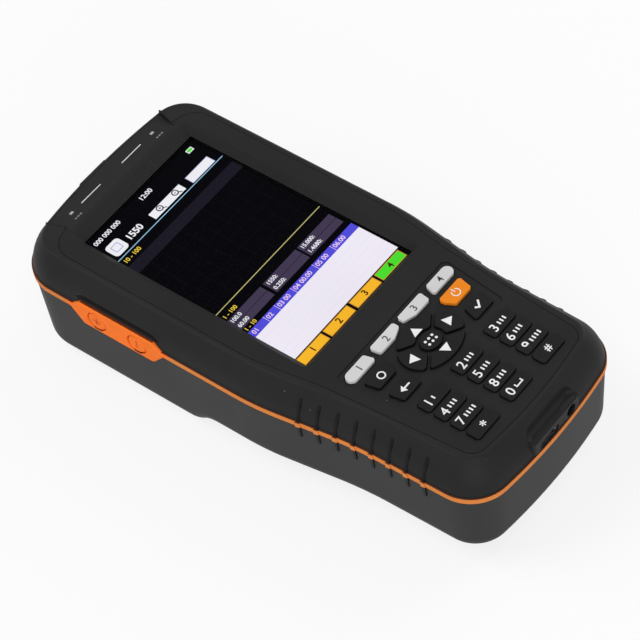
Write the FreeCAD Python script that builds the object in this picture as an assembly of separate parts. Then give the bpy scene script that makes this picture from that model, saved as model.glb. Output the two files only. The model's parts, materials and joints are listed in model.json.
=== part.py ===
import FreeCAD, Part
import math
import os
from FreeCAD import Vector

# Handheld optical time domain reflectometer, lying on its back.
# +Z is the way the face looks, +X the user's right, +Y towards the optical ports.
# The origin lies on the resting plane, under the middle of the body.

os.makedirs("parts", exist_ok=True)

# ---------------------------------------------------------------- driving sizes (mm)
face_z = 44.5              # faceplate surface above the resting plane
strip_z = 32.2             # middle of the orange seal between the two shells
strip_thick = 2.0
strip_proud = 0.45         # how far the seal stands out of the shells
half_length = 89.7         # shells, measured at the seal
head_half_width = 41.4     # shells beside the display, at the seal
waist_half_width = 36.5    # shells at the grip, at the seal
tail_half_width = 35.7     # shells at the socket end, at the seal
tail_radius, crown_radius = 13.0, 15.0      # corners of the plan at the seal
draft_inset = 1.6          # how much the lower shell narrows from the seal to the resting plane
shoulder_start, shoulder_end = 5.0, 41.0    # lean of the upper wall at the seal and at the face
edge_radius = 6.0          # rounding between the lower walls and the rear face
rim_radius = 0.8           # rounding between the shoulder and the face
grip_lift = 4.6            # how far the rear of the grip stands above the resting plane
grip_bend = 9.0            # radius of the S-curve between the grip and the deep half
deep_half_y = 22.0         # where the S-curve reaches the resting plane
wall = 2.4                 # moulded shell wall

plate_thick = 2.4          # faceplate
brow_thick = 5.4           # faceplate below its sloping brow
brow_fall = 14.0           # slope of the brow, degrees
brow_start_y = 74.6        # where the brow starts to slope
panel_depth = 0.25         # shallow panel round the function and arrow keys

display_width = 51.84      # lit area of a 4.0 inch, 480 x 800 display
display_length = 86.4
display_y = 25.4           # middle of the lit area
window_thick = 1.1

nav_y = -44.8              # middle of the arrow keys
key_gap = 0.2              # between a key and its opening in the faceplate
key_proud = 0.7            # how far the keys stand above the faceplate
key_travel = 0.8
nav_half_width, nav_half_length = 12.0, 8.8
centre_half_width, centre_half_length = 3.9, 3.1
nav_web = 0.9              # webs of the faceplate between the arrow keys
number_pitch_x, number_pitch_y, number_top_y = 16.5, 5.85, -13.15
number_width, number_web = 10.8, 0.95       # width of a number key, and the space between rows
flange_out, flange_thick = 0.35, 0.8        # plate that holds a key under the faceplate
mat_thick = 0.9            # silicone mat under the keys
key_board_thick, main_board_thick = 1.2, 1.6
fit_gap = 0.15             # between parts that drop into each other

rib_pitch, rib_count, first_rib_y = 6.25, 8, -67.6
rib_width, rib_proud = 0.9, 0.4

side_key_y, side_key_step = 44.8, 8.0
side_pad_z = (26.0, 35.6)
side_key_radius, side_key_travel = 3.6, 0.6
switch_reach = 5.4         # from the widest side of the seal in to the side switches

usb_x, usb_z, usb_width, usb_height = -3.8, 35.05, 9.3, 3.4
jack_x, jack_z, jack_radius, jack_pin_radius = 7.2, 35.6, 2.1, 0.8
scoop_half, scoop_depth, scoop_drop = 11.6, 4.1, 6.2

screw_hole, screw_head_radius, screw_head_height = 1.6, 2.75, 2.0
boss_radius = 3.3
standoff_radius = 2.3

cell_radius, cell_length = 9.4, 70.0
bay_y0, contact_room = -68.0, 3.4           # start of the battery bay, room for the contacts
cell_gap = 0.8             # over and under the cells
cover_lap = 1.0            # battery cover beyond the bay on each side

ports_z = 21.6             # axis of the two optical ports
port_spacing = 22.0
port_bay_half, port_bay_z = 22.5, (14.6, 28.6)
port_bay_depth = 11.9      # from the end of the shells in to the flange of the adapters
port_cover_half, port_cover_z = 25.6, (12.6, 30.9)
adapter_body_radius, adapter_flange_radius, adapter_nose_radius = 4.6, 5.8, 4.0
ferrule_radius, ferrule_depth = 1.25, 7.0
hinge_inset, hinge_z = 2.4, 11.2
pin_radius, barrel_radius = 0.8, 1.7
pin_half = 23.6
barrel_spans = [(-20.0, -9.0), (9.0, 20.0)]

# ---------------------------------------------------------------- derived levels
strip_top = strip_z + strip_thick / 2
strip_bottom = strip_z - strip_thick / 2
plate_under = face_z - plate_thick
brow_under = face_z - brow_thick
window_under = plate_under - window_thick
mat_top = plate_under - 2.9
mat_under = mat_top - mat_thick
key_board_under = mat_under - key_board_thick
main_board_top = strip_top
main_board_under = main_board_top - main_board_thick
cell_spacing = 2 * cell_radius - 0.2
cell_z = grip_lift + wall + cell_gap + cell_radius
bay_top = cell_z + cell_radius + cell_gap
bay_half = cell_spacing + cell_radius
bay_y1 = bay_y0 + 0.6 + cell_length + contact_room
number_length = number_pitch_y - number_web
stem_under = mat_top + key_travel + 0.1
socket_face_y = -half_length - 0.05
port_bay_floor = half_length - port_bay_depth
cap_y = half_length - 14.6        # plane where the end cap meets the rear shell
hinge_y = half_length - hinge_inset
cover_half = bay_half + cover_lap
cover_y0, cover_y1 = bay_y0 - 7.4, bay_y1 + 2.4
adapter_xs = (-port_spacing / 2, port_spacing / 2)
rib_ys = [first_rib_y + rib_pitch * i for i in range(rib_count)]
side_key_z = sum(side_pad_z) / 2
side_key_ys = (side_key_y + side_key_step, side_key_y - side_key_step)
pad_outer_x, pad_inner_x = -(head_half_width + 0.9), -(head_half_width - 3.0)
switch_x = -head_half_width + switch_reach
scoop_floor = face_z - scoop_drop

SADDLE_LOW, SADDLE_HIGH = -42.8, -8.8   # stretch of Y along which the grip widens to the head
end_slope = math.radians(6.5)           # how far the slightly arched ends fall back at the corners


# ---------------------------------------------------------------- outlines
def rounded_wire(corners, z):
    """Closed wire through corners (x, y, radius), straight runs joined by tangent arcs."""
    count = len(corners)
    starts, arcs, ends = [], [], []
    for i, (x, y, radius) in enumerate(corners):
        here = Vector(x, y, z)
        before = Vector(corners[i - 1][0], corners[i - 1][1], z) - here
        after = Vector(corners[(i + 1) % count][0], corners[(i + 1) % count][1], z) - here
        before.normalize()
        after.normalize()
        half = before.getAngle(after) / 2
        if radius <= 0:
            starts.append(here)
            ends.append(here)
            arcs.append(None)
            continue
        reach = radius / math.tan(half)
        bisector = (before + after).normalize()
        starts.append(here + before * reach)
        ends.append(here + after * reach)
        arcs.append(here + bisector * (radius / math.sin(half) - radius))
    edges = []
    for i in range(count):
        if arcs[i] is not None:
            edges.append(Part.Arc(starts[i], arcs[i], ends[i]).toShape())
        following = starts[(i + 1) % count]
        if ends[i].distanceToPoint(following) > 1e-6:
            edges.append(Part.LineSegment(ends[i], following).toShape())
    return Part.Wire(edges)


def chamfered(corners, largest=math.inf):
    """The same outline with a straight cut that touches the arc at each corner up to a radius."""
    count = len(corners)
    points = []
    for i, (x, y, radius) in enumerate(corners):
        if radius > largest:
            points.append((x, y, radius))
            continue
        here = Vector(x, y, 0)
        before = Vector(corners[i - 1][0], corners[i - 1][1], 0) - here
        after = Vector(corners[(i + 1) % count][0], corners[(i + 1) % count][1], 0) - here
        turn = (math.pi - before.getAngle(after)) / 2
        cut = radius * (1 / math.cos(turn) - 1) / math.sin(turn)
        for way in (before, after):
            way.normalize()
            point = here + way * cut
            points.append((point.x, point.y, 0))
    return points


def mirrored(right_half):
    """Whole outline from its right half, which starts and ends on the middle line."""
    inner = right_half[1:-1]
    return right_half + [(-x, y, r) for x, y, r in reversed(inner)]


def prism(corners, z_low, z_high):
    return Part.Face(rounded_wire(corners, z_low)).extrude(Vector(0, 0, z_high - z_low))


def box(x0, x1, y0, y1, z0, z1):
    return Part.makeBox(x1 - x0, y1 - y0, z1 - z0, Vector(x0, y0, z0))


def cylinder(x, y, z, radius, height, axis=(0, 0, 1)):
    return Part.makeCylinder(radius, height, Vector(x, y, z), Vector(*axis))


def rectangle(width, length, y=0.0, radius=1.0, x=0.0):
    w, l = width / 2, length / 2
    return [(x + w, y - l, radius), (x + w, y + l, radius),
            (x - w, y + l, radius), (x - w, y - l, radius)]


# A body section is (head, waist, tail half widths, tail end, crown end, tail r, crown r).
seal_section = (head_half_width, waist_half_width, tail_half_width,
                half_length, half_length - 0.8, tail_radius, crown_radius)
face_inset = (5.0, 5.5, 6.1, 6.2, 4.9, 6.0, 5.0)    # from the seal in to the edge of the face
face_section = tuple(size - inset for size, inset in zip(seal_section, face_inset))


def blend(first, second, share):
    return tuple(a + (b - a) * share for a, b in zip(first, second))


def shrink(section, distance):
    return tuple(size - distance for size in section)


base_section = shrink(seal_section, draft_inset)


def arched_end(half_width, corner_radius):
    """Radius of the slight arch across one end, and how far its apex corner stands out."""
    corner_reach = corner_radius * math.tan((math.pi / 2 - end_slope) / 2)
    reach = half_width / math.cos(end_slope) - corner_reach - 1.0
    radius = reach / math.tan(end_slope)
    return radius, radius * (1 / math.cos(end_slope) - 1)


def section_corners(section):
    head, waist, tail, tail_end, crown_end, tail_r, crown_r = section
    slope = math.tan(end_slope)
    tail_arch, tail_rise = arched_end(tail, tail_r)
    crown_arch, crown_rise = arched_end(head, crown_r)
    saddle_tangent = math.tan(math.atan2(head - waist, SADDLE_HIGH - SADDLE_LOW) / 2)
    saddle_run = math.hypot(head - waist, SADDLE_HIGH - SADDLE_LOW)
    hollow_r = min(150, 0.55 * saddle_run / saddle_tangent)
    swell_r = min(100, 0.37 * saddle_run / saddle_tangent)
    return mirrored([
        (0, -tail_end - tail_rise, tail_arch),
        (tail, -tail_end - tail_rise + tail * slope, tail_r),
        (waist, SADDLE_LOW, hollow_r),
        (head, SADDLE_HIGH, swell_r),
        (head, crown_end + crown_rise - head * slope, crown_r),
        (0, crown_end + crown_rise, crown_arch),
    ])


def straight_loft(low_section, high_section, z_low, z_high):
    return Part.makeLoft([rounded_wire(section_corners(low_section), z_low),
                          rounded_wire(section_corners(high_section), z_high)], True, True)


def shoulder_stations(count):
    """Heights up the shoulder's arc, each with its share of the way in from seal to face."""
    first, last = math.radians(shoulder_start), math.radians(shoulder_end)
    span = math.cos(first) - math.cos(last)
    lift = math.sin(last) - math.sin(first)
    stations = []
    for step in range(count):
        angle = first + (last - first) * step / (count - 1)
        z = strip_top + (face_z - strip_top) * (math.sin(angle) - math.sin(first)) / lift
        stations.append((z, (math.cos(first) - math.cos(angle)) / span))
    return stations


def shoulder_loft(inset, count=5, ruled=False):
    """Upper body form: the wall leans in along an arc from the seal to the face."""
    wires = [rounded_wire(section_corners(shrink(blend(seal_section, face_section, share), inset)), z)
             for z, share in shoulder_stations(count)]
    return Part.makeLoft(wires, True, ruled)


def base_taper(inset, z_low=0.0, z_high=strip_bottom):
    """Lower body form: a straight taper from the seal towards the resting plane."""
    def wire(z):
        share = (strip_bottom - z) / strip_bottom
        section = shrink(blend(seal_section, base_section, share), inset)
        return rounded_wire(section_corners(section), z)
    return Part.makeLoft([wire(z_low), wire(z_high)], True, True)


def export(shape, name):
    shape.exportStep("parts/" + name + ".step")


def union(shapes):
    whole = shapes[0]
    for shape in shapes[1:]:
        whole = whole.fuse(shape)
    return whole


def both_sides(x, y):
    return [(x, y), (-x, y)]


# ---------------------------------------------------------------- body forms
def relief_below_grip(floor, reach_y=deep_half_y, bend=grip_bend):
    """Taken off under the grip: flat at the grip's floor, then an S-curve to the deep half."""
    half = math.acos(1 - floor / (2 * bend))
    start_y = reach_y - 2 * bend * math.sin(half)
    middle = Vector(0, (start_y + reach_y) / 2, floor / 2)
    sway = bend * math.sin(half / 2)
    dip = bend * (1 - math.cos(half / 2))
    start, end = Vector(0, start_y, floor), Vector(0, reach_y, 0)
    under_end, under_start = Vector(0, reach_y, -20), Vector(0, -110, -20)
    tail = Vector(0, -110, floor)
    face = Part.Face(Part.Wire([
        Part.Arc(start, Vector(0, start_y + sway, floor - dip), middle).toShape(),
        Part.Arc(middle, Vector(0, reach_y - sway, dip), end).toShape(),
        Part.LineSegment(end, under_end).toShape(),
        Part.LineSegment(under_end, under_start).toShape(),
        Part.LineSegment(under_start, tail).toShape(),
        Part.LineSegment(tail, start).toShape(),
    ]))
    face.translate(Vector(-60, 0, 0))
    return face.extrude(Vector(120, 0, 0))


def rear_edges(form):
    """The chain of edges round the rear face, along the grip, the S-curve and the deep half."""
    chain = []
    for edge in form.Edges:
        b = edge.BoundBox
        crosses_body = b.YLength < 0.01 and b.XLength > 40
        stands_up = b.ZLength > 0.01 and b.YLength < 0.6
        if b.ZMax < grip_lift + 0.01 and not crosses_body and not stands_up:
            chain.append(edge)
    return chain


def lower_form():
    form = base_taper(0).cut(relief_below_grip(grip_lift))
    return form.makeFillet(edge_radius, rear_edges(form))


def lower_cavity():
    """The space inside the lower shell, one wall in from its outside."""
    space = base_taper(wall, 0.0)
    return space.cut(relief_below_grip(grip_lift + wall, deep_half_y + wall)).cut(
        box(-60, 60, -110, 110, -1, wall))


def upper_form():
    form = shoulder_loft(0)
    rim = [edge for edge in form.Edges if edge.BoundBox.ZMin > face_z - 0.01]
    return form.makeFillet(rim_radius, rim)


# ---------------------------------------------------------------- faceplate outline
seam_head, seam_waist, seam_tail = head_half_width - 6.4, waist_half_width - 5.3, tail_half_width - 8.4
seam_low = half_length - 6.1
seam_top = half_length - 13.7
brow_edge_y = half_length - 6.3
notch_in, notch_out = 25.8, 28.6


def seam_corners(inset=0.0, crown=True):
    """Outline of the faceplate, with the brow that reaches up between two notches."""
    i = inset
    lower = [
        (0, -seam_low + i, 170), (seam_tail - i, -seam_low + 3.0 + i, 5.0 - min(i, 3)),
        (seam_waist - i, SADDLE_LOW + 14.3, 60), (seam_head - i, SADDLE_HIGH + 5.3, 60),
    ]
    if crown:
        upper = [(seam_head - i, seam_top - i, 8.0 - min(i, 3)),
                 (notch_in - i, seam_top - i, 0.8), (notch_out - i, brow_edge_y - i, 0.8),
                 (0, brow_edge_y + 3.2 - i, 220)]
    else:
        upper = [(seam_head - i, seam_top - i, 8.0 - min(i, 3)), (0, seam_top - i, 0)]
    return mirrored(lower + upper)


def brow_wedge():
    """Air above the brow, which slopes down from the display towards the ports."""
    end_y = half_length + 8
    drop = (end_y - brow_start_y) * math.tan(math.radians(brow_fall))
    points = [Vector(-60, brow_start_y, face_z), Vector(-60, end_y, face_z - drop),
              Vector(-60, end_y, face_z + 5), Vector(-60, brow_start_y, face_z + 5)]
    slab = Part.Face(Part.makePolygon(points + [points[0]])).extrude(Vector(120, 0, 0))
    plan = [(notch_in - 0.2, 70, 0), (notch_in - 0.2, seam_top - 0.3, 0),
            (notch_out + 4.0, end_y + 2, 0), (-notch_out - 4.0, end_y + 2, 0),
            (-notch_in + 0.2, seam_top - 0.3, 0), (-notch_in + 0.2, 70, 0)]
    return slab.common(prism(plan, face_z - 12, face_z + 5))


# ---------------------------------------------------------------- ribs of the grip
def ribs_on(outside, inside, width, z_low, z_high):
    """Narrow ribs across both sides of the grip, between two forms of the body."""
    ring = outside.cut(inside)
    return [ring.common(box(-60, 60, y - width / 2, y + width / 2, z_low, z_high)) for y in rib_ys]


# ---------------------------------------------------------------- side keys
def side_pad(grow, x_outer, x_inner):
    """Long six-sided pad across the seal, with a pointed end each way."""
    low, high = side_pad_z
    tip_z = strip_z
    points = [(side_key_y - 19.2 - grow, tip_z), (side_key_y - 14 - grow / 2, low - grow),
              (side_key_y + 14 + grow / 2, low - grow), (side_key_y + 19.2 + grow, tip_z),
              (side_key_y + 14.6 + grow / 2, high + grow),
              (side_key_y - 14.6 - grow / 2, high + grow)]
    loop = [Vector(x_outer, y, z) for y, z in points]
    return Part.Face(Part.makePolygon(loop + [loop[0]])).extrude(Vector(x_inner - x_outer, 0, 0))


def side_key_bore(y, radius, x_outer, x_inner):
    return cylinder(x_outer, y, side_key_z, radius, x_inner - x_outer, (1, 0, 0))


# ---------------------------------------------------------------- sockets at the tail
def slot_prism(x, z, width, height, y0, y1):
    r = height / 2
    core = box(x - width / 2 + r, x + width / 2 - r, y0, y1, z - r, z + r)
    ends = [cylinder(x + side * (width / 2 - r), y0, z, r, y1 - y0, (0, 1, 0))
            for side in (-1, 1)]
    return union([core] + ends)


def socket_block():
    """Upright face across the tail that holds the two sockets."""
    block = box(-scoop_half, scoop_half, socket_face_y, socket_face_y + 4, strip_top, scoop_floor)
    return block.makeFillet(1.2, [e for e in block.Edges if e.BoundBox.ZLength > 1
                                  and e.BoundBox.YMax < socket_face_y + 0.01])


def tail_scoop():
    """Thumb scoop with rounded ends above the sockets."""
    back_y = socket_face_y + scoop_depth
    plan = [(scoop_half, -half_length - 10, 0), (scoop_half, back_y, 3.4),
            (-scoop_half, back_y, 3.4), (-scoop_half, -half_length - 10, 0)]
    tool = prism(plan, scoop_floor, face_z + 2)
    floor_edges = [e for e in tool.Edges if e.BoundBox.ZMax < scoop_floor + 0.01
                   and e.BoundBox.YMin > -half_length - 9]
    return tool.makeFillet(1.6, floor_edges)


# ---------------------------------------------------------------- fasteners
case_screw_spots = (both_sides(27.4, half_length - 10.7)
                    + both_sides(19.0, -(half_length - 11.1)))
light_pipe_spots = both_sides(19.8, brow_edge_y - 3.8)
standoff_spots = both_sides(22.0, 0.0) + both_sides(22.0, -62.0)
cover_screw_spots = both_sides(bay_half - 4, bay_y0 - 4.2)


def screw(x, y, head_z, length, shank_radius, head_radius, head_height):
    """Pan head below, shank upwards."""
    head = cylinder(x, y, head_z, head_radius, head_height)
    return head.fuse(cylinder(x, y, head_z + head_height, shank_radius, length))


def rear_floor(y):
    return 0.0 if y > deep_half_y else grip_lift


# ---------------------------------------------------------------- shells
def beyond(y):
    """All the room on the port side of a plane across the body."""
    return box(-70, 70, y, 200, -20, 80)


def upper_shell():
    shell = upper_form()
    shell = shell.fuse(union(ribs_on(shoulder_loft(-rib_proud, 3, True), shoulder_loft(1.0, 3, True),
                                     rib_width, strip_top, face_z - 3.2)))
    roof, brow_roof = face_z - 4.2, face_z - 7.4
    cavity = straight_loft(shrink(seal_section, wall), shrink(face_section, wall - 1.4),
                           strip_top, roof)
    brow_room = beyond(brow_start_y - 2.8)
    shell = shell.cut(cavity.cut(brow_room.common(box(-60, 60, 0, 200, brow_roof, face_z))))
    through = prism(seam_corners(2.2, False), strip_top, face_z + 1)
    shell = shell.cut(through.cut(beyond(brow_start_y - 3.2)))
    shell = shell.cut(module_frame(fit_gap))
    recess = prism(seam_corners(), plate_under, face_z + 1)
    brow_recess = prism(seam_corners(), brow_under, face_z + 1)
    shell = shell.cut(recess).cut(brow_recess.common(beyond(brow_start_y - 2.2)))
    shell = shell.fuse(socket_block()).cut(brow_wedge()).cut(tail_scoop())
    shell = shell.cut(box(usb_x - 5.0, usb_x + 5.0, socket_face_y + 0.55, socket_face_y + 9,
                          strip_top, usb_z + 1.85))
    shell = shell.cut(box(jack_x - 3.4, jack_x + 3.4, socket_face_y + 0.75, socket_face_y + 13,
                          strip_top, jack_z + 2.7))
    shell = shell.cut(slot_prism(usb_x, usb_z, usb_width, usb_height,
                                 socket_face_y - 3, socket_face_y + 7))
    shell = shell.cut(cylinder(jack_x, socket_face_y - 3, jack_z, jack_radius, 10, (0, 1, 0)))
    shell = shell.cut(side_pad(0.12, pad_outer_x - 20, pad_inner_x + 8))
    shell = shell.cut(side_shelf())
    for x, y in light_pipe_spots:
        shell = shell.cut(box(x - 0.9, x + 0.9, y - 0.7, y + 0.7, strip_top - 1, face_z + 1))
    for x, y in case_screw_spots:
        top = brow_roof if y > 0 else 37.0
        boss = cylinder(x, y, strip_top, boss_radius, top - strip_top)
        if y < 0:
            boss = boss.fuse(box(x - 1, x + 1, y - 9.5, y, strip_top, top))
        shell = shell.fuse(boss.common(shoulder_loft(0.5)))
        shell = shell.cut(cylinder(x, y, strip_top - 1, screw_hole, 4.4))
    return shell


def side_shelf():
    """Scooped shelf in the upper shell over the side keys."""
    edge_x = -head_half_width + 0.2
    tool = box(edge_x - 15, edge_x, side_key_y - 17.2, side_key_y + 17.2,
               side_pad_z[1] - 0.6, side_pad_z[1] + 1.8)
    outer_edges = [e for e in tool.Edges if e.BoundBox.XMin > edge_x - 5 and e.BoundBox.ZLength > 1]
    return tool.makeChamfer(2.0, outer_edges)


def lower_shell():
    form = lower_form()
    form = form.fuse(union(ribs_on(base_taper(-rib_proud), base_taper(1.0), rib_width,
                                   strip_bottom - 5.4, strip_bottom)))
    shell = form.cut(beyond(cap_y))
    cavity = lower_cavity()
    bay_walls = box(-bay_half - 1.6, bay_half + 1.6, bay_y0 - 1.6, bay_y1 + 1.6, 0, bay_top + 1.4)
    cavity = cavity.cut(bay_walls)
    shell = shell.cut(cavity)
    shell = shell.cut(box(-bay_half, bay_half, bay_y0, bay_y1, 0, bay_top))
    seat = prism(cover_outline(0), 0, grip_lift + wall)
    shell = shell.cut(seat)
    shell = shell.cut(side_pad(0.12, pad_outer_x - 20, pad_inner_x + 8))
    for x, y in case_screw_spots:
        if y > cap_y:
            continue
        low = rear_floor(y)
        shell = shell.fuse(cylinder(x, y, low + 1.0, boss_radius, strip_bottom - low - 1.0))
        shell = shell.cut(cylinder(x, y, low - 1, screw_head_radius + 0.2, 4.4))
        shell = shell.cut(cylinder(x, y, low - 1, screw_hole, 40))
    for x, y in cover_screw_spots:
        low = grip_lift + wall
        post = box(x - 2.4, x + 2.4, y, bay_y0 - 0.5, low, low + 9)
        shell = shell.fuse(cylinder(x, y, low, 2.4, 9).fuse(post))
        shell = shell.cut(cylinder(x, y, low - 1, 0.95, 9))
    return shell


def end_cap():
    form = lower_form().common(beyond(cap_y + fit_gap))
    z0, z1 = port_bay_z
    bay = prism(rectangle(2 * port_bay_half, 40, port_bay_floor + 20, 2.0), z0, z1)
    cap = form.cut(bay)
    shallow = base_taper(1.35).common(beyond(cap_y - 5))
    around = box(-port_cover_half - 0.3, port_cover_half + 0.3, port_bay_floor + 2.2,
                 half_length + 20, port_cover_z[0] - 0.3, strip_top)
    cap = cap.cut(around.cut(shallow))
    for x0, x1 in barrel_spans:
        cap = cap.cut(cylinder(x0 - 0.3, hinge_y, hinge_z, barrel_radius + 0.35,
                               x1 - x0 + 0.6, (1, 0, 0)))
        cap = cap.cut(box(x0 - 0.3, x1 + 0.3, hinge_y, half_length + 20,
                          hinge_z - barrel_radius - 0.35, hinge_z + 3))
    cap = cap.cut(cylinder(-pin_half - 0.4, hinge_y, hinge_z, pin_radius + 0.02,
                           2 * pin_half + 0.8, (1, 0, 0)))
    for x in adapter_xs:
        cap = cap.cut(cylinder(x, cap_y - 5, ports_z, adapter_body_radius + 0.03,
                               port_bay_floor - cap_y + 9, (0, 1, 0)))
    for x, y in case_screw_spots:
        if y > cap_y:
            cap = cap.cut(cylinder(x, y, -1, screw_head_radius + 0.2, 4.4))
            cap = cap.cut(cylinder(x, y, -1, screw_hole, strip_bottom + 5))
    return cap


def strip_outline(inset):
    return prism(section_corners(shrink(seal_section, inset)), strip_bottom, strip_top)


def seal_strip():
    strip = strip_outline(-strip_proud).cut(strip_outline(3.0))
    bumps = ribs_on(strip_outline(-strip_proud - rib_proud), strip_outline(1.0),
                    rib_width + 0.6, strip_bottom, strip_top)
    strip = strip.fuse(union(bumps))
    pad = side_pad(0, pad_outer_x, pad_inner_x)
    front = [e for e in pad.Edges if e.BoundBox.XMax < pad_outer_x + 0.01]
    strip = strip.fuse(pad.makeChamfer(0.6, front))
    for y in side_key_ys:
        strip = strip.cut(side_key_bore(y, side_key_radius + 0.2, pad_outer_x - 9, pad_inner_x + 9))
    return strip


# ---------------------------------------------------------------- display opening
def screen_opening():
    """Display opening with bevelled walls, wider towards the face."""
    half, low = display_width / 2 + 0.3, display_y - display_length / 2 - 0.4
    high = display_y + display_length / 2 + 0.4
    side, top, foot, lead = 2.4, 4.0, 1.6, 0.02
    bottom = [(half, low, 0.4), (half, high, 0.4), (-half, high, 0.4), (-half, low, 0.4)]
    wide = [(half + side, low - foot, 2.0), (half + side, high + top, 2.0),
            (-half - side, high + top, 2.0), (-half - side, low - foot, 2.0)]
    return Part.makeLoft([rounded_wire(bottom, plate_under - lead),
                          rounded_wire(wide, face_z + lead)], True, True)


# ---------------------------------------------------------------- keys
def key_corners(points):
    return [(x, nav_y + y, r) for x, y, r in points]


def flipped(points):
    return [(-x, y, r) for x, y, r in reversed(points)]


key_f1 = [(-14.6, 9.4, 0.9), (-15.7, 13.4, 0.9), (-25.8, 13.4, 1.99), (-25.8, 9.4, 1.99)]
key_f2 = [(-1.1, 10.9, 0.9), (-1.1, 13.4, 0.9), (-12.7, 13.4, 0.9), (-12.2, 9.4, 1.0),
          (-5.2, 9.4, 2.0)]
key_off = [(-15.2, 1.7, 1.0), (-13.7, 4.6, 2.0), (-13.4, 7.0, 1.0), (-24.0, 7.0, 1.0),
           (-22.9, 1.7, 1.0)]
key_esc = [(-13.5, -6.8, 1.0), (-15.0, -1.5, 1.0), (-23.2, -1.5, 1.0), (-22.3, -6.8, 1.0)]
shaped_keys = {
    "key_f1": key_f1, "key_f2": key_f2, "key_f3": flipped(key_f2), "key_f4": flipped(key_f1),
    "key_off": key_off, "key_esc": key_esc,
    "key_power": flipped(key_off), "key_ok": flipped(key_esc),
}
number_names = [["1", "2", "3"], ["4", "5", "6"], ["7", "8", "9"], ["star", "0", "hash"]]
for row, names in enumerate(number_names):
    for column, name in enumerate(names):
        x = (column - 1) * number_pitch_x
        y = number_top_y - row * number_pitch_y
        shaped_keys["key_" + name] = rectangle(number_width, number_length, y, 1.3, x)

def grown(points, distance):
    """The same outline moved outwards: each side is shifted along its own normal."""
    count = len(points)
    centre_turn = sum(points[i - 1][0] * points[i][1] - points[i][0] * points[i - 1][1]
                      for i in range(count))
    turn = 1 if centre_turn > 0 else -1
    moved = []
    for i, (x, y, r) in enumerate(points):
        bx, by = x - points[i - 1][0], y - points[i - 1][1]
        ax, ay = points[(i + 1) % count][0] - x, points[(i + 1) % count][1] - y
        bl, al = math.hypot(bx, by), math.hypot(ax, ay)
        n1 = (turn * by / bl, -turn * bx / bl)
        n2 = (turn * ay / al, -turn * ax / al)
        scale = distance / (1 + n1[0] * n2[0] + n1[1] * n2[1])
        moved.append((x + (n1[0] + n2[0]) * scale, y + (n1[1] + n2[1]) * scale, r + distance))
    return moved


def key_outline(points):
    """Small corners are cut off, larger ones are round."""
    return key_corners(chamfered(points, 1.8))


def key_solid(points):
    """Cap through the faceplate, a plate that holds it from below, and a stem."""
    cap = prism(key_outline(points), plate_under - 0.05, face_z + key_proud)
    sharp = [(x, y, 0) for x, y, r in grown(points, flange_out)]
    flange = prism(key_corners(sharp), plate_under - flange_thick - 0.05, plate_under - 0.05)
    middle_x = (min(p[0] for p in points) + max(p[0] for p in points)) / 2
    middle_y = nav_y + (min(p[1] for p in points) + max(p[1] for p in points)) / 2
    return union([cap, flange, key_stem(middle_x, middle_y)])


def key_stem(x, y):
    return box(x - 1.3, x + 1.3, y - 1.3, y + 1.3, stem_under, plate_under - flange_thick)


def oval(half_width, half_length, z_low, z_high):
    ellipse = Part.Ellipse(Vector(0, nav_y, z_low), half_width, half_length).toShape()
    return Part.Face(Part.Wire([ellipse])).extrude(Vector(0, 0, z_high - z_low))


# The arrow keys are parted along the diagonals, between the corners of the ring.
nav_corner = math.atan2(5.6, 9.0)
arrow_spots = {"key_right": (8.6, 0), "key_left": (-8.6, 0), "key_up": (0, 6.6),
               "key_down": (0, -6.6)}


def arrow_ring(grow, z_low, z_high, corner=0.0):
    """Four sectors of an oval ring, by key name, each grown by a distance all round."""
    ring = oval(nav_half_width + grow, nav_half_length + grow, z_low, z_high)
    inside = key_gap + nav_web + key_gap - grow
    ring = ring.cut(oval(centre_half_width + inside, centre_half_length + inside, z_low, z_high))
    for angle in (nav_corner, -nav_corner):
        gap = nav_web + 2 * key_gap - 2 * grow
        bar = box(-20, 20, -gap / 2, gap / 2, z_low, z_high)
        bar.rotate(Vector(0, 0, 0), Vector(0, 0, 1), math.degrees(angle))
        bar.translate(Vector(0, nav_y, 0))
        ring = ring.cut(bar)
    sectors = {}
    for sector in ring.Solids:
        dx, dy = sector.CenterOfMass.x, sector.CenterOfMass.y - nav_y
        if abs(dx) * math.tan(nav_corner) > abs(dy):
            name = "key_right" if dx > 0 else "key_left"
        else:
            name = "key_up" if dy > 0 else "key_down"
        if corner:
            upright = [e for e in sector.Edges if e.BoundBox.ZLength > 0.9 * (z_high - z_low)]
            sector = sector.makeChamfer(corner, upright)
        sectors[name] = sector
    return sectors


def nav_keys():
    """The four arrow keys, by name."""
    top = face_z + key_proud
    caps = arrow_ring(0.0, plate_under - 0.05, top, 0.6)
    flanges = arrow_ring(flange_out, plate_under - flange_thick - 0.05, plate_under - 0.05)
    keys = {}
    for name, (x, y) in arrow_spots.items():
        keys[name] = union([caps[name], flanges[name], key_stem(x, nav_y + y)])
    return keys


def centre_key():
    top = face_z + key_proud
    cap = oval(centre_half_width, centre_half_length, plate_under - 0.05, top)
    plate = oval(centre_half_width + flange_out, centre_half_length + flange_out,
                 plate_under - flange_thick - 0.05, plate_under - 0.05)
    return union([cap, plate, key_stem(0, nav_y)])


def key_panel():
    """Air over the shallow panel that the function and arrow keys stand in."""
    plan = [(0, -13.2, 24), (21.0, -9.4, 3.0), (24.9, -8.6, 2.0), (27.6, 15.2, 2.4),
            (-27.6, 15.2, 2.4), (-24.9, -8.6, 2.0), (-21.0, -9.4, 3.0)]
    return prism(key_corners(chamfered(plan, 3.5)), face_z - panel_depth, face_z + 1)


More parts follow.
